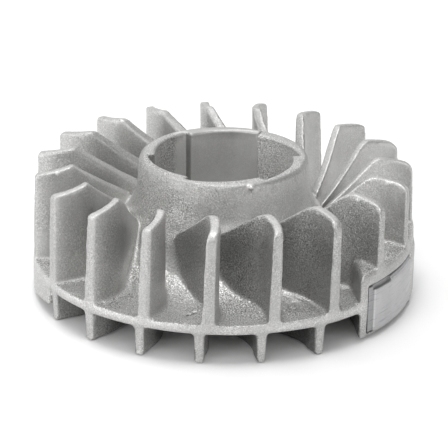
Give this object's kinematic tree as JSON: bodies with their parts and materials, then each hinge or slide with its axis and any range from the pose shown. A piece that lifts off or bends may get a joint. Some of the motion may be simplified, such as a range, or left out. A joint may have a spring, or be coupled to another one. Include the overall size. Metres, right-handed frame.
{
  "type": "fan flywheel",
  "caption": "Die-cast magneto flywheel of a small engine, with swept cooling blades round a starter cup with ratchet teeth, and steel pole shoes in a magnet housing on its rim.",
  "frame": {"origin": "on the crankshaft axis, in the plane of the lower edges of the fins under the web", "axes": "+Z along the crankshaft axis, from the engine towards the starter cup; -Y towards the front of the wheel, with the magnet housing on the +X side"},
  "size_m": [0.1021, 0.1015, 0.037],
  "materials": {
    "casting": "grainy as-cast, shot-blasted",
    "shoe_steel": "turned",
    "bush_steel": "ground",
    "magnet": "dull"
  },
  "bodies": {
    "root": {"web": "casting", "starter_cup": "casting", "hub_boss": "casting", "magnet_housing": "casting", "counterweight": "casting", "fan_blade_01": "casting", "fan_blade_02": "casting", "fan_blade_03": "casting", "fan_blade_04": "casting", "fan_blade_05": "casting", "fan_blade_06": "casting", "fan_blade_07": "casting", "fan_blade_08": "casting", "fan_blade_09": "casting", "fan_blade_10": "casting", "fan_blade_11": "casting", "fan_blade_12": "casting", "fan_blade_13": "casting", "fan_blade_14": "casting", "fan_blade_15": "casting", "fan_blade_16": "casting", "fan_blade_17": "casting", "fan_blade_18": "casting", "fan_blade_19": "casting", "cooling_fin_01": "casting", "cooling_fin_02": "casting", "cooling_fin_03": "casting", "cooling_fin_04": "casting", "cooling_fin_05": "casting", "cooling_fin_06": "casting", "cooling_fin_11": "casting", "cooling_fin_12": "casting", "cooling_fin_13": "casting", "cooling_fin_14": "casting", "cooling_fin_15": "casting", "cooling_fin_16": "casting", "pole_shoe_1": "shoe_steel", "pole_shoe_2": "shoe_steel", "hub_bush": "bush_steel", "magnet": "magnet"}
  },
  "joints": []
}
